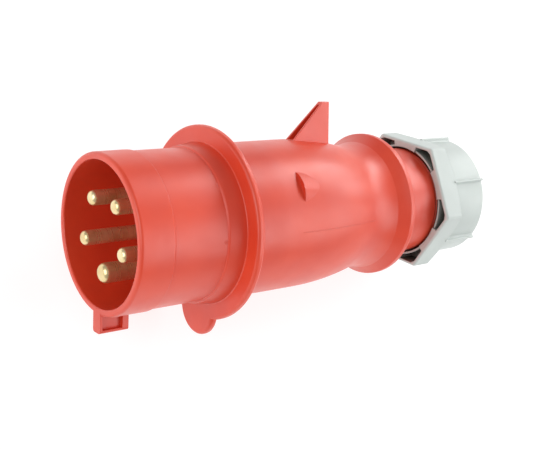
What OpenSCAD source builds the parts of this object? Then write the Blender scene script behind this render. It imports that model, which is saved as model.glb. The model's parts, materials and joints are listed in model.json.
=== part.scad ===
// Industrial pin and sleeve plug, five poles, 32 A, with a cable gland.
//
// Every piece is drawn standing on its mouth: the axis is Z, the lip of the sleeve is at
// z = 0, the cable end is up, and +X points at the key (the six o'clock side). "Station"
// means the distance from the lip along the axis. Angles are counted from the key.
// lying() then lays the whole plug down the way it rests on a bench, with the origin at
// the centre of the contact face and +X of the bench along the plug, towards the cable.

/* [Sleeve] */
// Outside radius of the sleeve at its lip
sleeve_r = 31.75; // [31.25:0.05:33]
// Wall thickness of the sleeve
sleeve_wall = 2.95; // [2.4:0.05:4]
// Depth of the sleeve, from the lip to the contact face
sleeve_depth = 40; // [36:0.5:41]
// Length of the full-size land behind the lip
land_length = 14.6; // [14:0.2:20]
// How far the sleeve steps in behind that land
waist_step = 0.55; // [0.2:0.05:0.8]
// How far the shoulder starts in front of the contact face
shoulder_lead = 1.3; // [0:0.1:4]
// Radius of the sleeve's root at the shoulder
shoulder_r = 31.95; // [31.8:0.05:32.6]
// Radius of the sleeve's root at the flange
root_end_r = 33.2; // [32.7:0.1:34]
// Rounding of the lip, outside
lip_round = 1.3; // [0.6:0.1:1.6]
// Thickness of the wall that carries the contact face
floor_thickness = 3.5; // [3:0.1:5]

/* [Key and flange] */
// Width of the key under the lip
key_width = 5.6; // [4:0.1:7]
// Length of the key along the axis
key_length = 12.6; // [9:0.1:14]
// Radius that the key reaches
key_reach = 39.2; // [36.5:0.1:41]
// Depth of the moulded pocket in the side of the key
key_pocket_depth = 1.7; // [0.8:0.1:2.2]
// Distance from the contact face to the front face of the flange
flange_offset = 6.3; // [5:0.1:8]
// Thickness of the flange
flange_thickness = 3.4; // [3:0.1:5]
// Radius of the flange
flange_r = 40; // [38.5:0.1:43]
// Rounding of the flange's rim
rim_round = 1.3; // [0.6:0.1:1.4]
// Radius of the rounded tab under the flange
tab_r = 11.5; // [10:0.1:14]
// Radius that the tab reaches
tab_reach = 47.5; // [45:0.1:50]

/* [Spigot] */
// Length of the spigot that enters the housing
spigot_length = 12.3; // [11.5:0.1:14]
// Wall thickness of the spigot
spigot_wall = 2.2; // [1.8:0.1:3]
// Radial clearance of the spigot in the housing
spigot_clearance = 0.2; // [0.1:0.05:0.4]
// Height of the three snap lugs on the spigot
snap_height = 1.1; // [0.8:0.1:1.2]

/* [Housing] */
// Outside radius of the housing at its widest
housing_r = 32; // [31.5:0.1:33]
// Wall thickness of the housing
housing_wall = 3.3; // [3:0.1:3.6]
// Length of the full-size grip behind the flange
grip_length = 38.3; // [36:0.1:44]
// Length over which the housing narrows to its waist
taper_length = 36; // [32:0.5:44]
// Share of that length with the bulging curve, the rest is hollow
bulge_share = 0.82; // [0.5:0.01:0.9]
// Outside radius of the housing at its waist
taper_r = 27.7; // [27:0.1:29]
// Length from the waist to the crease in front of the collar
waist_run = 7.8; // [5:0.1:10]
// Depth of the hollow flare between crease and collar
flare_depth = 4.5; // [3.5:0.1:6]
// Radius of the rear collar
collar_r = 32.3; // [31.5:0.1:33]
// Thickness of the rear collar
collar_thickness = 3.2; // [2.6:0.1:4]
// Radius of the hollow flare in front of the rear collar
flare_r = 24; // [18:0.5:30]
// Slope of the flare at the crease, in degrees
flare_slope = 30; // [24:0.5:34]
// Outside radius of the neck behind the collar
neck_r = 24.4; // [24:0.1:25.5]
// Length of the neck that stays in view between collar and nut
neck_length = 20.6; // [20:0.1:26]
// Length of the neck inside the nut
thread_length = 15.8; // [14:0.2:18]
// Radius of the cable passage in the neck
passage_r = 17; // [15:0.5:18]

/* [Fin and pads] */
// Radius that the fin reaches
fin_reach = 47.8; // [44:0.1:52]
// Width of the fin at its foot
fin_width = 5.2; // [4.6:0.1:8]
// Width of the fin along its top
fin_top_width = 2.8; // [2.4:0.1:4]
// Distance from the start of the taper to the foot of the fin
fin_setback = 3.7; // [0:0.1:8]
// Length of the fin at its foot
fin_length = 20.8; // [18:0.1:26]
// Length of the flat top of the fin
fin_top = 4.9; // [3:0.1:8]
// Wall left on each side of the channel in the sloping front of the fin
fin_cheek = 0.9; // [0.7:0.05:1.3]
// Depth of that channel along the axis
channel_depth = 6; // [3:0.1:7]
// Chamfer of the two rear edges of the fin
fin_chamfer = 1.3; // [0.6:0.1:1.5]
// How far the steep front of the side pads lies in front of the taper
pad_lead = 11; // [9:0.1:14]
// Length of the side pads
pad_length = 11; // [8:0.5:12]
// Width of the side pads
pad_width = 11.2; // [10:0.1:14]
// Height of the side pads at their steep front
pad_height = 1.8; // [1.4:0.1:3.4]

/* [Contacts] */
// Radius of the circle through the five pins
pin_circle_r = 15.4; // [15:0.05:16]
// Radius of the phase and neutral pins
pin_r = 3; // [2.5:0.05:3.3]
// Radius of the earth pin
earth_pin_r = 4; // [3.4:0.05:4.3]
// How far the pin tips stay behind the lip
tip_setback = 1; // [0.5:0.1:4]
// Radial clearance of the pins in the floor and in the carrier
pin_clearance = 0.1; // [0.05:0.05:0.2]
// Wall between wire hole and outside of a terminal barrel
barrel_wall = 1.9; // [1.6:0.1:2.2]
// Radius of the wire hole of a phase terminal
wire_hole_r = 2.6; // [2.2:0.1:2.8]
// Length of the terminal barrel behind the carrier
barrel_length = 14; // [13:0.2:17]
// Radius of the terminal screws
terminal_screw_r = 2; // [1.6:0.1:2.2]
// Thickness of the contact carrier
carrier_thickness = 12.5; // [12:0.1:14]
// Radial clearance of the carrier in the spigot
carrier_clearance = 0.15; // [0.1:0.05:0.3]
// Thickness of the walls between the terminals
barrier_thickness = 2; // [1.6:0.1:2.4]
// Radius of the two carrier screws
carrier_screw_r = 1.5; // [1.2:0.1:1.7]

/* [Gland] */
// Radius over the corners of the nut's hexagon
nut_corner_r = 32.6; // [31.8:0.1:32.8]
// Radius over the flats of the nut's hexagon
nut_flat_r = 28.5; // [28.3:0.1:28.8]
// Length of the hexagon along the axis
hex_length = 9.4; // [9:0.1:14]
// Radius of the round rear part of the nut
nut_round_r = 27.1; // [26.6:0.1:27.5]
// Overall length of the nut
nut_length = 30.7; // [29.5:0.1:34]
// Angle of the nut's first corner, counted from the key
nut_angle = 34.5; // [10:0.5:50]
// Depth of the six pockets in the face of the nut
pocket_depth = 8.5; // [5:0.5:9]
// Half the angle that each pocket spans
pocket_half_angle = 15.5; // [10:0.5:18]
// Wall left outside the pockets
pocket_wall = 1.4; // [1.2:0.1:2.2]
// How far the ring inside the pockets stays behind the face of the nut
ring_recess = 0.7; // [0.3:0.1:1.5]
// Rounding of the front edges of the hexagon
hex_round = 1.1; // [0.5:0.1:1.3]
// Height of the six grip ribs on the round part
rib_height = 1.9; // [1.3:0.1:2.2]
// Rounding of the ribs' tips
rib_round = 0.5; // [0.3:0.05:0.8]
// Fillet on both sides of the ribs
rib_fillet = 1.1; // [0.6:0.1:1.4]
// Gap between the neck and the mouth of the nut
mouth_gap = 0.9; // [0.6:0.1:1.1]
// Radial clearance of the nut on the neck
thread_clearance = 0.08; // [0.05:0.01:0.1]
// Radius of the cable entry
entry_r = 12.5; // [11:0.1:14]
// Room that the nut has to close up before the clamp ring meets the seal
closing_room = 4.4; // [4.3:0.1:5]
// Thickness of the clamp ring
clamp_thickness = 4.8; // [4:0.1:5.4]
// Length of the rubber seal
seal_length = 11; // [8:0.1:12]
// How far the rubber seal stands out of the neck
seal_proud = 1; // [0.6:0.1:2]
// Hole radius of the rubber seal
seal_bore_r = 11.5; // [9:0.5:13]

/* [Hidden] */
$fn = 96;

red = "firebrick";
grey = "gainsboro";
brass = "darkkhaki";

// How far cutting tools reach past the faces they cut
over = 1;
// How far joined forms run into each other
bite = 0.6;
// Smoothness of the very large radii
large_fn = 360;
poles = 5;
pole_angle = 360 / poles;

// Stations along the plug
shoulder_station = sleeve_depth - shoulder_lead;
flange_station = sleeve_depth + flange_offset;
flange_rear = flange_station + flange_thickness;
spigot_end = flange_rear + spigot_length;
carrier_front = sleeve_depth + floor_thickness;
carrier_rear = carrier_front + carrier_thickness;
barrel_end = carrier_rear + barrel_length;
taper_start = flange_rear + grip_length;
waist_station = taper_start + taper_length;
taper_end = waist_station + waist_run;
collar_front = taper_end + flare_depth;
collar_rear = collar_front + collar_thickness;
fin_front = taper_start + fin_setback;
fin_rear = fin_front + fin_length;
pad_station = taper_start - pad_lead;
nut_mouth = collar_rear + neck_length;
neck_end = nut_mouth + thread_length;
nut_end = nut_mouth + nut_length;
corner_station = nut_mouth + hex_length;
pocket_floor = nut_mouth + pocket_depth;

// Steps, walls and clearances shared by several pieces
taper_wall = 4.2;
// Straight length of the neck in front of the nut
neck_plain = 8;
thread_step = 0.5;
seal_seat_step = 2;
seal_clearance = 0.1;
clamp_clearance = 0.1;
clamp_gap = 0.1;
// Free depth of the nut's mouth in front of the thread, with its sloping end
mouth_depth = 4.9;
mouth_slope = 1.2;
// The cavity of the housing is a little wider than the wall alone would leave it
cavity_play = 0.2;
// The housing grows by this much behind the flange and is straight before the taper
grip_draft = 0.4;
grip_plain = 20;

// Radii that follow from a neighbour
waist_r = sleeve_r - waist_step;
sleeve_bore_r = sleeve_r - sleeve_wall;
housing_bore_r = housing_r - housing_wall - cavity_play;
spigot_r = housing_bore_r - spigot_clearance;
spigot_bore_r = spigot_r - spigot_wall;
carrier_r = spigot_bore_r - carrier_clearance;
thread_r = neck_r - thread_step;
thread_bore_r = thread_r + thread_clearance;
mouth_r = neck_r + mouth_gap;
seal_seat_r = passage_r + seal_seat_step;
seal_r = seal_seat_r - seal_clearance;
seal_rear = neck_end + seal_proud;
seal_front = seal_rear - seal_length;
clamp_front = seal_rear + closing_room;
clamp_rear = clamp_front + clamp_thickness;
clamp_r = thread_r - 3;
clamp_seat_r = clamp_r + clamp_clearance;
clamp_bore_r = entry_r + 0.4;
nut_back_wall = clamp_rear + clamp_gap;

// Nut: length of the slope behind the hexagon, walls of the pockets, roundings
hex_end = corner_station + 2.2;
rib_start = corner_station + 1;
pocket_ring = 0.9;
pocket_corner_wall = 2;
nut_rear_round = 1.2;
entry_round = 1.5;

// Lip, rims and small steps
bore_round = 0.6;
root_round = 1.5;
root_fillet = 0.5;
floor_fillet = 1;
neck_flare = 0.8;
small_edge = 0.5;

// Carrier screws and their bosses
boss_wall = 1.7;
boss_r = carrier_screw_r + boss_wall;
boss_circle_r = carrier_r - boss_r - 1.3;
boss_end = carrier_rear - 0.3;
boss_clearance = 0.15;
screw_angles = [1.5 * pole_angle, 3.5 * pole_angle];
screw_head_r = boss_r + 0.8;
screw_head_height = 2;
screw_slot = 0.8;
slot_depth = 1.1;

// Contacts: collar behind the contact face and the two screws of each terminal
tip_share = 0.62;
root_step = 0.4;
barrel_collar = 0.8;
barrel_collar_length = 4;
screw_inset = 3.6;
screw_play = 0.05;

// Snap lugs of the spigot and their groove in the housing
snap_setback = 3;
snap_length = 3;
snap_room = 0.2;
snap_half_angle = 9;
snap_angles = [60, 180, 300];
snap_rear = spigot_end - snap_setback;
snap_front = snap_rear - snap_length;

// Grip pads, counted from the key
pad_angles = [124, 236];

// ---------------------------------------------------------------- rest position
// Lying free, the plug touches the bench with its flange, with one corner of the nut and
// with the rear end of the grip rib beside that corner. How far the nut turns away from
// the corner and how far the plug leans depend on each other, so they are settled by
// working one out of the other a few times.
rim_land_rear = flange_rear - rim_round;
rib_end = nut_end - nut_rear_round - 0.1;
rib_tip_r = nut_round_r + rib_height;
corner_half_angle = 30 - acos(nut_flat_r / nut_corner_r);
function rib_low(turn) = (rib_tip_r - rib_round) * cos(30 - turn) + rib_round;
function lean_slope(turn) = (flange_r - rib_low(turn)) / (rib_end - rim_land_rear);
function next_turn(turn) =
  corner_half_angle
  + acos((flange_r - lean_slope(turn) * (corner_station - rim_land_rear)) / nut_corner_r);
function settled_turn(turn, steps) =
  steps == 0 ? turn : settled_turn(next_turn(turn), steps - 1);
rest_turn = settled_turn(20, 12);
lean = atan(lean_slope(rest_turn));
down_angle = nut_angle + rest_turn;

// Lays a standing piece down on the bench, with the contact face at the origin
module lying() {
  rotate([0, 90 + lean, 0])
    rotate([0, 0, -down_angle])
      translate([0, 0, -sleeve_depth])
        children();
}

// ---------------------------------------------------------------- small helpers
// The sliver between a square corner and a round one, at the origin, towards +X +Y
module corner_sliver(radius) {
  difference() {
    square(radius);
    translate([radius, radius]) circle(r = radius);
  }
}

// Sliver for the corner at (x, z), lying to the side given by the two signs
module sliver_at(x, z, side_x, side_z, radius) {
  translate([x, z])
    scale([side_x, side_z])
      corner_sliver(radius);
}

// A ring sector between two radii and two stations, centred on an angle
module sector(inner, outer, bottom, top, middle, half) {
  rotate([0, 0, middle - half])
    rotate_extrude(angle = 2 * half)
      translate([inner, bottom])
        square([outer - inner, top - bottom]);
}

// Places children at one pole's place on the pin circle
module at_pole(pole) {
  rotate([0, 0, pole * pole_angle])
    translate([pin_circle_r, 0, 0])
      children();
}

function shaft_r(pole) = pole == 0 ? earth_pin_r : pin_r;
function root_r(pole) = shaft_r(pole) + root_step;
function hole_r(pole) = pole == 0 ? wire_hole_r + root_step : wire_hole_r;
function barrel_r(pole) = hole_r(pole) + barrel_wall;
function collar_of(pole) = barrel_r(pole) + barrel_collar;
function screw_station(place) =
  place == 0 ? carrier_rear + screw_inset : barrel_end - screw_inset;

// ---------------------------------------------------------------- front shell
module front_shell_section() {
  difference() {
    union() {
      polygon([
        [sleeve_bore_r, 0],
        [sleeve_r, 0],
        [sleeve_r, land_length],
        [waist_r, land_length + waist_step],
        [waist_r, shoulder_station - 0.3],
        [shoulder_r - 0.25, shoulder_station],
        [shoulder_r, shoulder_station + 0.35],
        [root_end_r, flange_station],
        [flange_r, flange_station],
        [flange_r, flange_rear],
        [spigot_r, flange_rear],
        [spigot_r, spigot_end],
        [spigot_bore_r, spigot_end],
        [spigot_bore_r, carrier_front],
        [0, carrier_front],
        [0, sleeve_depth],
        [sleeve_bore_r, sleeve_depth]
      ]);
      sliver_at(root_end_r - 0.1, flange_station, 1, -1, root_fillet);
      sliver_at(sleeve_bore_r, sleeve_depth, -1, -1, floor_fillet);
    }
    sliver_at(sleeve_r, 0, -1, 1, lip_round);
    sliver_at(sleeve_bore_r, 0, 1, 1, bore_round);
    sliver_at(flange_r, flange_station, -1, 1, rim_round);
    sliver_at(flange_r, flange_rear, -1, -1, rim_round);
  }
}

module tab() {
  difference() {
    translate([tab_reach - tab_r, 0, flange_station])
      rotate_extrude()
        difference() {
          square([tab_r, flange_thickness]);
          sliver_at(tab_r, 0, -1, 1, rim_round);
          sliver_at(tab_r, flange_thickness, -1, -1, rim_round);
        }
    // the disc stops in the wall and leaves the bore of the spigot free
    translate([0, 0, flange_station - over])
      cylinder(r = spigot_r - bite, h = flange_thickness + 2 * over);
  }
}

module key() {
  corner = 1.2;
  start = sleeve_r - sleeve_wall / 2;
  difference() {
    intersection() {
      translate([start, -key_width / 2, 0])
        cube([key_reach - start, key_width, key_length]);
      union() {
        translate([start, -key_width / 2, 0])
          cube([key_reach - start - corner, key_width, key_length]);
        for (side = [-1, 1])
          translate([key_reach - corner, side * (key_width / 2 - corner), 0])
            cylinder(r = corner, h = key_length);
        translate([start, corner - key_width / 2, 0])
          cube([key_reach - start, key_width - 2 * corner, key_length]);
      }
    }
    for (side = [-1, 1])
      key_pocket(side);
  }
}

// Pocket that keeps the side of the key thin-walled, with a thicker wall behind it
module key_pocket(side) {
  border = 1.1;
  rear_wall = 2.7;
  top = sleeve_r + 0.5;
  start = side > 0 ? key_width / 2 - key_pocket_depth : -key_width / 2 - over;
  translate([top, start, border])
    cube([
      key_reach - border - 0.3 - top,
      key_pocket_depth + over,
      key_length - border - rear_wall
    ]);
}

module front_shell() {
  color(red)
    lying()
      difference() {
        union() {
          rotate_extrude() front_shell_section();
          tab();
          key();
          for (angle = snap_angles)
            sector(spigot_r - bite, spigot_r + snap_height,
                   snap_front, snap_rear, angle, snap_half_angle);
          for (angle = screw_angles)
            rotate([0, 0, angle])
              translate([boss_circle_r, 0, carrier_front - bite])
                cylinder(r = boss_r, h = boss_end - carrier_front + bite);
        }
        for (pole = [0 : poles - 1])
          at_pole(pole)
            translate([0, 0, sleeve_depth - over])
              cylinder(r = root_r(pole) + pin_clearance, h = floor_thickness + 2 * over);
        for (angle = screw_angles)
          rotate([0, 0, angle])
            translate([boss_circle_r, 0, carrier_front + 1])
              cylinder(r = carrier_screw_r, h = boss_end - carrier_front);
      }
}

// ---------------------------------------------------------------- housing
// The taper is two arcs that meet at one slope, the first bulging, the second hollow.
// The hollow one goes on past the waist and rises to the crease in front of the collar.
taper_slope = 2 * atan((housing_r - taper_r) / taper_length);
bulge_arc_r = bulge_share * taper_length / sin(taper_slope);
hollow_arc_r = (1 - bulge_share) * taper_length / sin(taper_slope);
taper_turn = taper_start + bulge_share * taper_length;
crease_r = taper_r + hollow_arc_r - sqrt(pow(hollow_arc_r, 2) - pow(waist_run, 2));
flare_centre_r = crease_r + flare_r * cos(flare_slope);
flare_centre_station = taper_end - flare_r * sin(flare_slope);

module housing_outline() {
  difference() {
    union() {
      polygon([
        [0, flange_rear],
        [housing_r - grip_draft, flange_rear],
        [housing_r, taper_start - grip_plain],
        [housing_r, taper_start],
        [0, taper_start]
      ]);
      intersection() {
        translate([housing_r - bulge_arc_r, taper_start])
          circle(r = bulge_arc_r, $fn = large_fn);
        translate([0, taper_start])
          square([housing_r, taper_turn - taper_start]);
      }
      difference() {
        translate([0, taper_turn])
          square([housing_r, taper_end - taper_turn]);
        translate([taper_r + hollow_arc_r, waist_station])
          circle(r = hollow_arc_r, $fn = large_fn);
      }
      translate([0, taper_end])
        square([collar_r, collar_rear - taper_end]);
      polygon([
        [0, collar_rear],
        [neck_r + neck_flare, collar_rear],
        [neck_r, nut_mouth - neck_plain],
        [neck_r, nut_mouth],
        [thread_r, nut_mouth + thread_step],
        [thread_r, neck_end],
        [0, neck_end]
      ]);
      sliver_at(neck_r + neck_flare - 0.1, collar_rear, 1, 1, root_round);
    }
    // the hollow flare in front of the collar
    intersection() {
      translate([flare_centre_r, flare_centre_station])
        circle(r = flare_r, $fn = large_fn);
      translate([taper_r, taper_end])
        square([collar_r, flare_depth + over]);
    }
    sliver_at(collar_r, collar_rear, -1, -1, rim_round);
    sliver_at(thread_r, neck_end, -1, -1, 0.8);
  }
}

// The room for the wires, the cable passage and the seat of the rubber seal
module housing_cavity() {
  polygon([
    [0, flange_rear - over],
    [housing_bore_r, flange_rear - over],
    [housing_bore_r, taper_start],
    [taper_r - taper_wall, taper_end - 4],
    [passage_r + 2.6, collar_rear],
    [passage_r, collar_rear + 5],
    [passage_r, seal_front],
    [seal_seat_r, seal_front],
    [seal_seat_r, neck_end + over],
    [0, neck_end + over]
  ]);
  // groove for the snap lugs of the front shell
  translate([housing_bore_r - bite, snap_front - snap_room])
    square([bite + snap_height, snap_length + 2 * snap_room]);
}

// Half the width of the fin at some radius
function fin_half(r) =
  fin_width / 2
  - (fin_width - fin_top_width) / 2 * (r - housing_r) / (fin_reach - housing_r);
// Station of the sloping front of the fin at some radius
function fin_slope(r) =
  fin_front + (fin_length - fin_top) * (r - housing_r) / (fin_reach - housing_r);

// Bar along the axis that is as thick as the fin, less a border on both sides
module fin_bar(bottom_r, border) {
  translate([0, 0, fin_front - 20])
    linear_extrude(fin_length + 40)
      polygon([
        [bottom_r, border - fin_half(bottom_r)],
        [fin_reach, border - fin_half(fin_reach)],
        [fin_reach, fin_half(fin_reach) - border],
        [bottom_r, fin_half(bottom_r) - border]
      ]);
}

// Side view of the fin, or of its channel, extruded across
module fin_side(points) {
  translate([0, fin_width, 0])
    rotate([90, 0, 0])
      linear_extrude(2 * fin_width)
        polygon(points);
}

module fin() {
  root = taper_r - 1.5;
  floor_r = housing_r + 0.05;
  channel_top = fin_reach - 1.2;
  draft = atan((fin_width - fin_top_width) / 2 / (fin_reach - housing_r));
  side = fin_chamfer * sqrt(2);
  mirror([1, 0, 0])
    difference() {
      intersection() {
        fin_bar(root, 0);
        fin_side([
          [root, fin_slope(root)],
          [fin_reach, fin_rear - fin_top],
          [fin_reach, fin_rear],
          [root, fin_rear]
        ]);
      }
      // the channel runs up the sloping front and stops short of the flat top
      intersection() {
        fin_bar(floor_r, fin_cheek);
        fin_side([
          [floor_r, fin_slope(floor_r) - over],
          [channel_top, fin_slope(channel_top) - over],
          [channel_top, fin_slope(channel_top) + fin_cheek],
          [floor_r, fin_slope(floor_r) + channel_depth]
        ]);
      }
      for (hand = [-1, 1])
        translate([root, hand * fin_half(root), fin_rear])
          rotate([0, 0, -hand * draft])
            rotate([45, 0, 0])
              translate([-over, -side / 2, -side / 2])
                cube([fin_reach - root + 2 * over, side, side]);
    }
}

// Raised pad like half a barrel: steep in front, running out into the wall behind
module pad(angle) {
  barrel = (pow(pad_width / 2, 2) + pow(pad_height, 2)) / (2 * pad_height);
  fall = atan((pad_height + small_edge) / pad_length);
  rotate([0, 0, angle])
    intersection() {
      translate([housing_r + pad_height - barrel, 0, pad_station])
        rotate([0, -fall, 0])
          translate([0, 0, -pad_length])
            cylinder(r = barrel, h = 2.6 * pad_length);
      translate([housing_r - housing_wall, -pad_width, pad_station])
        cube([housing_wall + pad_height + over, 2 * pad_width, pad_length + 2]);
    }
}

module housing() {
  color(red)
    lying()
      difference() {
        union() {
          rotate_extrude() housing_outline();
          fin();
          for (angle = pad_angles)
            pad(angle);
        }
        rotate_extrude() housing_cavity();
      }
}

// ---------------------------------------------------------------- contacts
module contact_carrier() {
  post_r = 6.5;
  start = post_r - 0.5;
  long_wall = carrier_r - start;
  short_wall = boss_circle_r - screw_head_r - start - bite;
  color("dimgray")
    lying()
      difference() {
        union() {
          translate([0, 0, carrier_front])
            cylinder(r = carrier_r, h = carrier_thickness);
          translate([0, 0, carrier_rear - bite])
            cylinder(r = post_r, h = barrel_length + bite);
          for (gap = [0 : poles - 1])
            rotate([0, 0, (gap + 0.5) * pole_angle])
              translate([start, -barrier_thickness / 2, carrier_rear - bite])
                cube([
                  gap == 1 || gap == 3 ? short_wall : long_wall,
                  barrier_thickness,
                  barrel_length + bite
                ]);
        }
        for (pole = [0 : poles - 1])
          at_pole(pole) {
            translate([0, 0, carrier_front - over])
              cylinder(r = barrel_r(pole) + pin_clearance, h = carrier_thickness + 2 * over);
            translate([0, 0, carrier_front - over])
              cylinder(r = collar_of(pole) + pin_clearance, h = barrel_collar_length + over);
          }
        for (angle = screw_angles)
          rotate([0, 0, angle])
            translate([boss_circle_r, 0, carrier_front - over])
              cylinder(r = boss_r + boss_clearance, h = carrier_thickness + 2 * over);
      }
}

// One contact in one piece: pin, collar and terminal barrel
module contact(pole) {
  tip = shaft_r(pole) * tip_share;
  collar_end = carrier_front + barrel_collar_length;
  color(brass)
    lying()
      at_pole(pole)
        difference() {
          rotate_extrude()
            difference() {
              union() {
                translate([0, tip_setback])
                  square([shaft_r(pole), sleeve_depth + bite - tip_setback]);
                translate([0, sleeve_depth])
                  square([root_r(pole), floor_thickness + bite]);
                translate([0, carrier_front])
                  square([collar_of(pole), barrel_collar_length]);
                translate([0, collar_end - bite])
                  square([barrel_r(pole), barrel_end - collar_end + bite]);
              }
              sliver_at(shaft_r(pole), tip_setback, -1, 1, tip);
              sliver_at(barrel_r(pole), barrel_end, -1, -1, small_edge);
            }
          translate([0, 0, carrier_rear + 1])
            cylinder(r = hole_r(pole), h = barrel_length + over);
          for (place = [0, 1])
            translate([0, 0, screw_station(place)])
              rotate([0, 90, 0])
                cylinder(r = terminal_screw_r + screw_play, h = barrel_r(pole) + over);
        }
}

// Slotted screw that clamps the wire in a terminal, place 0 in front and 1 behind
module terminal_screw(pole, place) {
  head_r = terminal_screw_r + 0.7;
  head_height = 1.7;
  foot = hole_r(pole) - 0.9;
  seat = barrel_r(pole) + 0.15;
  color("silver")
    lying()
      at_pole(pole)
        translate([0, 0, screw_station(place)])
          rotate([0, 90, 0])
            difference() {
              union() {
                translate([0, 0, foot])
                  cylinder(r = terminal_screw_r, h = seat + bite - foot);
                translate([0, 0, seat])
                  cylinder(r = head_r, h = head_height);
              }
              translate([-screw_slot / 2, -head_r - over, seat + head_height - 1])
                cube([screw_slot, 2 * (head_r + over), 1 + over]);
            }
}

// Screw that holds the carrier in the front shell
module carrier_screw(index) {
  color("silver")
    lying()
      rotate([0, 0, screw_angles[index]])
        translate([boss_circle_r, 0, 0])
          difference() {
            union() {
              translate([0, 0, carrier_front + 2.5])
                cylinder(r = carrier_screw_r - screw_play, h = carrier_thickness - 2);
              translate([0, 0, carrier_rear])
                cylinder(r = screw_head_r, h = screw_head_height);
            }
            translate([
              -screw_head_r - over,
              -screw_slot / 2,
              carrier_rear + screw_head_height - slot_depth
            ])
              cube([2 * (screw_head_r + over), screw_slot, slot_depth + over]);
          }
}

// ---------------------------------------------------------------- cable gland
module gland_seal() {
  color("darkslategray")
    lying()
      rotate_extrude()
        difference() {
          translate([seal_bore_r, seal_front])
            square([seal_r - seal_bore_r, seal_rear - seal_front]);
          sliver_at(seal_r, seal_rear, -1, -1, 0.8);
          sliver_at(seal_bore_r, seal_front, 1, 1, 1.2);
          sliver_at(seal_bore_r, seal_rear, 1, -1, 1.2);
        }
}

module clamp_ring() {
  color(grey)
    lying()
      rotate_extrude()
        polygon([
          [clamp_bore_r + 2.8, clamp_front],
          [clamp_r - 0.8, clamp_front],
          [clamp_r, clamp_front + 0.8],
          [clamp_r, clamp_rear],
          [clamp_bore_r, clamp_rear],
          [clamp_bore_r, clamp_rear - 1.4]
        ]);
}

// Six-sided bar of the nut, before its corners are rounded
module hexagon_bar(flat_r, bottom, top) {
  translate([0, 0, bottom])
    cylinder(r = flat_r / cos(30), h = top - bottom, $fn = 6);
}

module nut_outline() {
  difference() {
    union() {
      polygon([
        [0, nut_mouth],
        [nut_corner_r, nut_mouth],
        [nut_corner_r, corner_station],
        [nut_round_r, hex_end],
        [0, hex_end]
      ]);
      translate([0, corner_station])
        square([nut_round_r, nut_end - corner_station]);
    }
    sliver_at(nut_corner_r, nut_mouth, -1, 1, hex_round);
    sliver_at(nut_round_r, nut_end, -1, -1, nut_rear_round);
  }
}

// Rounds the front edge of one flat of the hexagon
module flat_edge_cut(side) {
  rotate([0, 0, 30 + side * 60])
    translate([nut_flat_r - hex_round, nut_corner_r, nut_mouth + hex_round])
      rotate([90, 0, 0])
        linear_extrude(2 * nut_corner_r)
          difference() {
            translate([0, -hex_round - over])
              square(hex_round + over);
            circle(r = hex_round);
          }
}

// Narrow grip rib in the middle of a flat, rounded on top and filleted into the nut
module nut_rib(angle) {
  foot = nut_round_r - 0.08;
  rotate([0, 0, angle])
    translate([0, 0, rib_start])
      linear_extrude(rib_end - rib_start)
        union() {
          translate([foot - over, -rib_round])
            square([rib_tip_r - rib_round - foot + over, 2 * rib_round]);
          translate([rib_tip_r - rib_round, 0])
            circle(r = rib_round);
          for (hand = [-1, 1])
            sliver_at(foot, hand * rib_round, 1, hand, rib_fillet);
        }
}

// Six deep pockets behind the corners, with the ring inside them set back
module nut_pockets() {
  ring_r = mouth_r + pocket_ring;
  intersection() {
    hexagon_bar(nut_flat_r - pocket_wall, nut_mouth - over, pocket_floor);
    translate([0, 0, nut_mouth - over])
      cylinder(r = nut_corner_r - pocket_corner_wall, h = pocket_depth + over);
    for (side = [0 : 5])
      sector(ring_r, nut_corner_r + over, nut_mouth - 2 * over,
             pocket_floor + over, side * 60, pocket_half_angle);
  }
  for (side = [0 : 5])
    sector(mouth_r - over, ring_r + bite, nut_mouth - over,
           nut_mouth + ring_recess, side * 60, pocket_half_angle);
}

// Mouth, thread, seat of the clamp ring and cable entry, from front to back
module nut_bore() {
  thread_front = nut_mouth + mouth_depth;
  polygon([
    [0, nut_mouth - over],
    [mouth_r, nut_mouth - over],
    [mouth_r, thread_front - mouth_slope],
    [thread_bore_r, thread_front],
    [thread_bore_r, neck_end + closing_room],
    [clamp_seat_r, clamp_front - clamp_gap],
    [clamp_seat_r, nut_back_wall],
    [0, nut_back_wall]
  ]);
  translate([0, nut_back_wall - over])
    square([entry_r, nut_end - nut_back_wall + 2 * over]);
  sliver_at(entry_r, nut_end, 1, -1, entry_round);
}

module gland_nut() {
  color(grey)
    lying()
      rotate([0, 0, nut_angle])
        difference() {
          union() {
            difference() {
              intersection() {
                rotate_extrude() nut_outline();
                union() {
                  hexagon_bar(nut_flat_r, nut_mouth, hex_end);
                  translate([0, 0, corner_station - over])
                    cylinder(r = nut_round_r, h = nut_end - corner_station + over);
                }
              }
              for (side = [0 : 5])
                flat_edge_cut(side);
            }
            for (side = [0 : 5])
              nut_rib(30 + side * 60);
          }
          rotate_extrude() nut_bore();
          nut_pockets();
        }
}

front_shell();
housing();
contact_carrier();
contact(0);  // pin_earth
contact(1);  // pin_line_1
contact(2);  // pin_line_2
contact(3);  // pin_line_3
contact(4);  // pin_neutral
terminal_screw(0, 0);  // terminal_screw_earth_a
terminal_screw(0, 1);  // terminal_screw_earth_b
terminal_screw(1, 0);  // terminal_screw_line_1_a
terminal_screw(1, 1);  // terminal_screw_line_1_b
terminal_screw(2, 0);  // terminal_screw_line_2_a
terminal_screw(2, 1);  // terminal_screw_line_2_b
terminal_screw(3, 0);  // terminal_screw_line_3_a
terminal_screw(3, 1);  // terminal_screw_line_3_b
terminal_screw(4, 0);  // terminal_screw_neutral_a
terminal_screw(4, 1);  // terminal_screw_neutral_b
carrier_screw(0);  // carrier_screw_a
carrier_screw(1);  // carrier_screw_b
gland_seal();
clamp_ring();
gland_nut();
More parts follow.
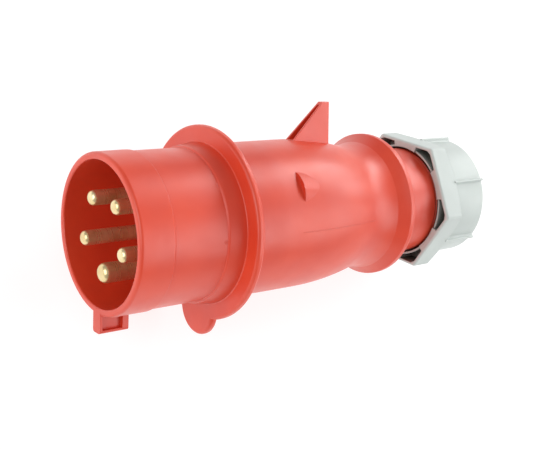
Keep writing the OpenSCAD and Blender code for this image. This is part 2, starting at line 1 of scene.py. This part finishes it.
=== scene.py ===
"""Looks of an industrial pin and sleeve plug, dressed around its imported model.

The plug lies on a bench. Its own directions are read from the mounts of the model: AXIS
runs from the sleeve to the cable end, KEY_SIDE points from the axis to the earth pin and
the key, and ACROSS completes them. Stations count from the lip of the sleeve. Sizes are in
millimetres where they are named, and turned to metres where they are used.
"""

import json
import math

import bpy
from mathutils import Matrix, Vector


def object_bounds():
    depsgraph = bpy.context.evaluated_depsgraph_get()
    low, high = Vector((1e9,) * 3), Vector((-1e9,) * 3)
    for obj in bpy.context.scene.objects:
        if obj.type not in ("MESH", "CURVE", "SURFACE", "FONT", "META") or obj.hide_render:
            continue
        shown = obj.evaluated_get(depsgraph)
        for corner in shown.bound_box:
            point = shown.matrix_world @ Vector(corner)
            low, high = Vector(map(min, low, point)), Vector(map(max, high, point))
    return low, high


MM = 0.001

# ------------------------------------------------------------------ sizes in mm
# Sleeve, and the ring on it where the sprue was trimmed off
SLEEVE_R = 31.75
GATE_STATION = 37.4
GATE_RING_R = 0.79
GATE_RING_HALF = 0.11
GATE_FADE = 0.12
GATE_DEPTH = 0.15

# Lines where the two halves of the housing's mould met
PARTING_MIDDLE = 97.25
PARTING_REACH = 21.75
PARTING_END_FADE = 0.4
PARTING_HALF = 0.14
PARTING_FADE = 0.1
PARTING_DEPTH = 0.12

# Thread on the neck, which the gland nut runs on
THREAD_MIDDLE = 168.25
THREAD_REACH = 7.65
THREAD_END_FADE = 0.3
THREAD_R = 23.9
THREAD_BAND = 1.9
THREAD_FADE = 0.5
THREAD_PITCH = 2.0
THREAD_DEPTH = 0.9

# Skin of the moulded plastics
MELT_CLOUD = 22
SKIN_PATCH = 7
SWELL = 30
SWELL_DEPTH = 0.09
GRAIN_DEPTH = 0.006
# Reach of the painted shade in corners and pockets
SHADE_REACH = 7.0

# Nearly all of a noise pattern lies between these two values
NOISE_SPAN = {"From Min": 0.3, "From Max": 0.7}

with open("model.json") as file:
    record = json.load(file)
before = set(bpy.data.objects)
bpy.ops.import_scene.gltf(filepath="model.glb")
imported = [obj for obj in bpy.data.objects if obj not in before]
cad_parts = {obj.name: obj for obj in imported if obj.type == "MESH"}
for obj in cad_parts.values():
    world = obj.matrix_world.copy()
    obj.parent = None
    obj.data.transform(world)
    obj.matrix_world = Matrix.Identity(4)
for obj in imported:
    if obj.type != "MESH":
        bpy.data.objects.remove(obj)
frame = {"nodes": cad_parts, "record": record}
cad_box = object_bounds()


# ------------------------------------------------------------------ the plug's own frame
def plug_directions():
    """Unit vectors along the plug, towards its key, and across, from the stated mounts."""
    mounts = {mount["name"]: mount for mount in frame["record"]["mounts"]}
    axis = -Vector(mounts["contact_face"]["axis"]).normalized()
    earth = Vector(mounts["earth_pin"]["pos_m"])
    key_side = (earth - axis * earth.dot(axis)).normalized()
    return axis, key_side, axis.cross(key_side)


AXIS, KEY_SIDE, ACROSS = plug_directions()

# Where the lip of the sleeve lies along the axis, in metres
LIP = min(vertex.co.dot(AXIS) for vertex in frame["nodes"]["front_shell"].data.vertices)


def direction(along, across, up):
    """A direction given along the plug, across it and away from its key."""
    return AXIS * along + ACROSS * across - KEY_SIDE * up


def place(station, across, up):
    """A point given in mm from the lip, across the plug and away from its key."""
    return AXIS * LIP + direction(station, across, up) * MM


# ------------------------------------------------------------------ helpers for materials
def linear(code):
    """Linear red, green, blue and alpha of an sRGB hex colour."""
    parts = [int(code[start : start + 2], 16) / 255 for start in (0, 2, 4)]
    return [p / 12.92 if p <= 0.04045 else ((p + 0.055) / 1.055) ** 2.4 for p in parts] + [1.0]


def add(tree, kind, inputs=None, **settings):
    """Adds a node with its settings. An input is a value, a socket that feeds it, or a node
    whose first live output does."""
    made = tree.nodes.new(kind)
    for name, value in settings.items():
        setattr(made, name, value)
    for name, value in (inputs or {}).items():
        if isinstance(value, bpy.types.Node):
            value = next(socket for socket in value.outputs if socket.enabled)
        if isinstance(value, bpy.types.NodeSocket):
            tree.links.new(value, made.inputs[name])
        else:
            made.inputs[name].default_value = value
    return made


def new_material(name):
    """An empty material and its node tree."""
    material = bpy.data.materials.new(name)
    material.use_nodes = True
    material.node_tree.nodes.clear()
    return material, material.node_tree


def new_finish(name):
    """An empty material, its node tree and the place of each point on its piece."""
    material, tree = new_material(name)
    return material, tree, add(tree, "ShaderNodeTexCoord").outputs["Object"]


def close_finish(material, tree, look):
    """Ends a material with one surface that has the given look."""
    surface = add(tree, "ShaderNodeBsdfPrincipled", look)
    add(tree, "ShaderNodeOutputMaterial", {"Surface": surface})
    return material


def per_metre(size_mm):
    """Texture scale whose features measure about size_mm."""
    return 1 / (size_mm * MM)


def uneven(tree, where, size_mm, detail, low=0.0, high=1.0):
    """Value that drifts between two levels over patches of about size_mm."""
    patches = add(
        tree,
        "ShaderNodeTexNoise",
        {"Vector": where, "Scale": per_metre(size_mm), "Detail": detail},
    )
    return add(
        tree,
        "ShaderNodeMapRange",
        {"Value": patches, **NOISE_SPAN, "To Min": low, "To Max": high},
    )


def uneven_colour(tree, where, size_mm, detail, light_code, dark_code):
    """Colour that drifts between two tones over patches of about size_mm."""
    return add(
        tree,
        "ShaderNodeMix",
        {
            "Factor": uneven(tree, where, size_mm, detail),
            "A": linear(dark_code),
            "B": linear(light_code),
        },
        data_type="RGBA",
    )


def surface_normal(tree, edge_mm, reliefs):
    """Normal of a surface whose edges are softened by edge_mm, under layers of relief.
    Each relief is a height from 0 to 1 and what a height of 1 measures in mm."""
    normal = add(tree, "ShaderNodeBevel", {"Radius": edge_mm * MM}, samples=6)
    for height, depth_mm in reliefs:
        normal = add(
            tree,
            "ShaderNodeBump",
            {"Strength": 1.0, "Distance": depth_mm * MM, "Height": height, "Normal": normal},
        )
    return normal


# ------------------------------------------------------------------ marks on the red pieces
def plug_places(tree, where):
    """Station, way across and way away from the key of each point, in mm."""
    station, across, up = (
        add(tree, "ShaderNodeVectorMath", {0: where, 1: way / MM}, operation="DOT_PRODUCT")
        for way in (AXIS, ACROSS, -KEY_SIDE)
    )
    from_lip = add(tree, "ShaderNodeMath", {0: station, 1: LIP / MM}, operation="SUBTRACT")
    return from_lip, across, up


def close_to(tree, value, middle, half, fade):
    """1 within half of a middle value, then down to 0 over the fade."""
    past = add(tree, "ShaderNodeMath", {0: value, 1: middle}, operation="SUBTRACT")
    away = add(tree, "ShaderNodeMath", {0: past}, operation="ABSOLUTE")
    return add(
        tree,
        "ShaderNodeMapRange",
        {"Value": away, "From Min": half, "From Max": half + fade, "To Min": 1.0, "To Max": 0.0},
        interpolation_type="SMOOTHSTEP",
    )


def together(tree, first, *others):
    """Product of several patterns, so that it stands only where all of them do."""
    for other in others:
        first = add(tree, "ShaderNodeMath", {0: first, 1: other}, operation="MULTIPLY")
    return first


def parting_lines(tree, station, up):
    """Fine raised line along the grip, on both sides of the housing."""
    return together(
        tree,
        close_to(tree, up, 0.0, PARTING_HALF, PARTING_FADE),
        close_to(tree, station, PARTING_MIDDLE, PARTING_REACH, PARTING_END_FADE),
    )


def gate_ring(tree, where):
    """Small ring on the sleeve, a quarter turn from the key."""
    centre = place(GATE_STATION, -SLEEVE_R, 0)
    away = add(tree, "ShaderNodeVectorMath", {0: where, 1: centre}, operation="DISTANCE")
    return close_to(tree, away, GATE_RING_R * MM, GATE_RING_HALF * MM, GATE_FADE * MM)


def neck_thread(tree, station, across, up):
    """Ridges of the right-hand thread, round the outside of the neck."""
    turn = add(tree, "ShaderNodeMath", {0: up, 1: across}, operation="ARCTAN2")
    climb = together(tree, turn, THREAD_PITCH / math.tau)
    unwound = add(tree, "ShaderNodeMath", {0: station, 1: climb}, operation="SUBTRACT")
    ridges = add(tree, "ShaderNodeMath", {0: unwound, 1: THREAD_PITCH / 2}, operation="PINGPONG")
    section = add(tree, "ShaderNodeCombineXYZ", {"Y": across, "Z": up})
    radius = add(tree, "ShaderNodeVectorMath", {0: section}, operation="LENGTH")
    return together(
        tree,
        ridges,
        close_to(tree, radius, THREAD_R, THREAD_BAND, THREAD_FADE),
        close_to(tree, station, THREAD_MIDDLE, THREAD_REACH, THREAD_END_FADE),
    )


def red_marks(tree, where):
    """What the mould and the thread leave on the front shell and the housing."""
    station, across, up = plug_places(tree, where)
    return [
        (parting_lines(tree, station, up), PARTING_DEPTH),
        (gate_ring(tree, where), GATE_DEPTH),
        (neck_thread(tree, station, across, up), THREAD_DEPTH),
    ]


def with_painted_shade(tree, colour, shade_code):
    """Colour with painted shade: mixed towards a shade colour by ambient occlusion, in the
    corners and pockets where shade falls.
    """
    # painted shade: ambient occlusion finds the corners and pockets
    sky = add(tree, "ShaderNodeAmbientOcclusion", {"Distance": SHADE_REACH * MM}, samples=8)
    # how deep in painted shade each point lies
    shaded = add(
        tree,
        "ShaderNodeMapRange",
        {
            "Value": sky.outputs["AO"],
            "From Min": 0.15,
            "From Max": 0.6,
            "To Min": 1.0,
            "To Max": 0.0,
        },
    )
    return add(
        tree,
        "ShaderNodeMix",
        {"Factor": shaded, "A": colour, "B": linear(shade_code)},
        data_type="RGBA",
    )


# ------------------------------------------------------------------ materials
def moulded_plastic(
    name, light_code, dark_code, roughness, grain_mm, edge_mm, marks=None, shade_code=None
):
    """Injection-moulded plastic: an even colour with faint clouds where the melt flowed,
    a satin skin copied from a spark-eroded mould, and edges softened by a fraction of a
    millimetre. To the eye: broad soft highlights that break up slightly."""
    material, tree, where = new_finish(name)
    colour = uneven_colour(tree, where, MELT_CLOUD, 3, light_code, dark_code)
    # painted shade in corners and pockets, for plastics given a shade colour
    if shade_code:
        colour = with_painted_shade(tree, colour, shade_code)
    swell = add(
        tree, "ShaderNodeTexNoise", {"Vector": where, "Scale": per_metre(SWELL), "Detail": 1.0}
    )
    grain = add(
        tree,
        "ShaderNodeTexNoise",
        {"Vector": where, "Scale": per_metre(grain_mm), "Detail": 3.0, "Roughness": 0.6},
    )
    reliefs = [(swell, SWELL_DEPTH), (grain, GRAIN_DEPTH)]
    if marks:
        reliefs += marks(tree, where)
    look = {
        "Base Color": colour,
        "Roughness": uneven(tree, where, SKIN_PATCH, 4, roughness - 0.04, roughness + 0.04),
        "IOR": 1.6,
        "Normal": surface_normal(tree, edge_mm, reliefs),
    }
    return close_finish(material, tree, look)


def turned_brass(name):
    """Brass bar turned on a lathe and slightly tarnished: fine rings around the pin and an
    uneven tone. To the eye: a warm mirror that is blurred along the pin."""
    material, tree, where = new_finish(name)
    station, _, _ = plug_places(tree, where)
    # lathe marks half a millimetre apart, several times coarser than real ones, so they show
    rings = add(tree, "ShaderNodeTexNoise", {"W": station, "Scale": 2.0}, noise_dimensions="1D")
    look = {
        "Base Color": uneven_colour(tree, where, 6, 3, "EFE0B4", "D8C088"),
        "Metallic": 0.82,
        "Roughness": add(
            tree,
            "ShaderNodeMapRange",
            {"Value": rings, **NOISE_SPAN, "To Min": 0.27, "To Max": 0.33},
        ),
        "Normal": surface_normal(tree, 0.15, [(rings, 0.0012)]),
    }
    return close_finish(material, tree, look)


def zinc_plated_steel(name):
    """Cold-headed steel screw with a thin zinc plating: bright, cloudy and a little blue."""
    material, tree, where = new_finish(name)
    look = {
        "Base Color": uneven_colour(tree, where, 1.5, 4, "C9CCCB", "9FA4A8"),
        "Metallic": 1.0,
        "Roughness": uneven(tree, where, 1.5, 4, 0.28, 0.4),
        "Normal": surface_normal(tree, 0.12, []),
    }
    return close_finish(material, tree, look)


def moulded_rubber(name):
    """Cured rubber ring: nearly black, dull, with the fine dusty skin of a moulded seal."""
    material, tree, where = new_finish(name)
    pores = add(
        tree, "ShaderNodeTexNoise", {"Vector": where, "Scale": per_metre(0.4), "Detail": 2.0}
    )
    look = {
        "Base Color": uneven_colour(tree, where, 3, 5, "242423", "151515"),
        "Roughness": uneven(tree, where, 3, 5, 0.62, 0.78),
        "IOR": 1.52,
        "Normal": surface_normal(tree, 0.2, [(pores, 0.01)]),
    }
    return close_finish(material, tree, look)


def dress(material, *names):
    """Gives CAD nodes their material."""
    for name in names:
        slots = frame["nodes"][name].data.materials
        slots.clear()
        slots.append(material)


def nodes_with(word):
    """CAD nodes that have a word in their name."""
    return [name for name in frame["nodes"] if word in name.split("_")]


dress(
    moulded_plastic(
        "moulded_polyamide_red", "DE4526", "D23A1F", 0.39, 0.6, 0.25, marks=red_marks
    ),
    "front_shell",
    "housing",
)
dress(
    moulded_plastic(
        # the dark grey is painted shade in the nut's pockets and corners
        "moulded_polyamide_light_grey", "C2CAC6", "BAC2BE", 0.45, 0.5, 0.3, shade_code="55574F"
    ),
    "gland_nut",
    "clamp_ring",
)
dress(
    moulded_plastic("moulded_thermoset_black", "1D1D1F", "161617", 0.5, 0.4, 0.2),
    "contact_carrier",
)
dress(moulded_rubber("moulded_rubber_black"), "gland_seal")
dress(turned_brass("turned_brass"), *nodes_with("pin"))
dress(zinc_plated_steel("zinc_plated_steel"), *nodes_with("screw"))


# ------------------------------------------------------------------ camera
# Its place in mm and the ways its back and its top face, in the plug's own frame
CAMERA_PLACE = (-179.2, -327.0, 94.0)
CAMERA_BACK = (-0.6094, -0.7590, 0.2290)
CAMERA_TOP = (0.1002, 0.2128, 0.9719)
CAMERA_LENS = 66.6
CAMERA_SENSOR = 36


def make_camera():
    """Camera that looks at the mouth and the near side of the plug from a little above."""
    data = bpy.data.cameras.new("camera")
    data.lens = CAMERA_LENS
    data.sensor_width = CAMERA_SENSOR
    camera = bpy.data.objects.new("camera", data)
    bpy.context.scene.collection.objects.link(camera)
    back = direction(*CAMERA_BACK).normalized()
    right = direction(*CAMERA_TOP).cross(back).normalized()
    turn = Matrix((right, back.cross(right), back)).transposed().to_4x4()
    turn.translation = place(*CAMERA_PLACE)
    camera.matrix_world = turn
    bpy.context.scene.camera = camera


# ------------------------------------------------------------------ bench and light
BENCH_HALF = 3.0  # metres

# The matt part of the bench keeps a faint shadow. Its glow is what a white bench gives back,
# with a level for what is seen, for what shines in the plug, and for the light it returns.
BENCH_CODE = "9A9A9A"
BENCH_SEEN = 0.77
BENCH_MIRRORED = 1.0
BENCH_BOUNCE = 0.75

# Light of the white room, which the camera sees as plain white
ROOM_LEVEL = 0.42

# Soft lamps: where from, in the plug's own frame, then metres away, width, height and watts
LAMPS = {
    "softbox_side": ((0.64, -0.76, -0.08), 1.3, 1.1, 0.8, 8.8),
    "softbox_top": ((0.75, -0.3, 0.6), 1.1, 0.8, 0.35, 5.4),
    "softbox_over": ((0.68, -0.05, 0.74), 1.1, 0.4, 0.3, 1.7),
    "softbox_front": ((-0.85, -0.35, 0.25), 1.25, 0.9, 0.9, 7.5),
    "softbox_far": ((-0.6, 0.76, -0.15), 1.1, 0.6, 0.6, 7.0),
}
LAMP_TARGET = (90, 0, 0)


def matt_white_bench():
    """Matt painted board, lit so evenly that it looks white around the plug."""
    material, tree = new_material("matt_white_bench")
    rays = add(tree, "ShaderNodeLightPath")
    strength = BENCH_BOUNCE
    for ray, level in (("Is Camera Ray", BENCH_SEEN), ("Is Glossy Ray", BENCH_MIRRORED)):
        strength = add(
            tree,
            "ShaderNodeMath",
            {0: rays.outputs[ray], 1: level - BENCH_BOUNCE, 2: strength},
            operation="MULTIPLY_ADD",
        )
    matt = add(tree, "ShaderNodeBsdfDiffuse", {"Color": linear(BENCH_CODE)})
    glow = add(tree, "ShaderNodeEmission", {"Color": linear("FFFFFF"), "Strength": strength})
    both = add(tree, "ShaderNodeAddShader", {0: matt, 1: glow})
    add(tree, "ShaderNodeOutputMaterial", {"Surface": both})
    return material


def make_bench():
    """Bench top just under the plug."""
    level = cad_box[0].z
    signs = ((-1, -1), (1, -1), (1, 1), (-1, 1))
    corners = [(x * BENCH_HALF, y * BENCH_HALF, level) for x, y in signs]
    mesh = bpy.data.meshes.new("bench_top")
    mesh.from_pydata(corners, [], [(0, 1, 2, 3)])
    mesh.materials.append(matt_white_bench())
    bench = bpy.data.objects.new("bench_top", mesh)
    bpy.context.scene.collection.objects.link(bench)


def make_room():
    """Even white surroundings."""
    world = bpy.data.worlds.new("white_room")
    bpy.context.scene.world = world
    world.use_nodes = True
    tree = world.node_tree
    tree.nodes.clear()
    rays = add(tree, "ShaderNodeLightPath")
    strength = add(
        tree,
        "ShaderNodeMapRange",
        {"Value": rays.outputs["Is Camera Ray"], "To Min": ROOM_LEVEL, "To Max": 1.0},
    )
    room = add(
        tree, "ShaderNodeBackground", {"Color": linear("FFFFFF"), "Strength": strength}
    )
    add(tree, "ShaderNodeOutputWorld", {"Surface": room})


def make_softbox(name, toward, distance, width, height, power):
    """An area lamp that faces the middle of the plug."""
    data = bpy.data.lights.new(name, "AREA")
    data.shape = "RECTANGLE"
    data.size = width
    data.size_y = height
    data.energy = power
    lamp = bpy.data.objects.new(name, data)
    bpy.context.scene.collection.objects.link(lamp)
    aim = direction(*toward).normalized()
    lamp.location = place(*LAMP_TARGET) + aim * distance
    lamp.rotation_mode = "QUATERNION"
    lamp.rotation_quaternion = aim.to_track_quat("Z", "Y")


make_camera()
make_bench()
make_room()
for lamp_name, lamp_sizes in LAMPS.items():
    make_softbox(lamp_name, *lamp_sizes)

bpy.context.scene.view_settings.view_transform = "Standard"
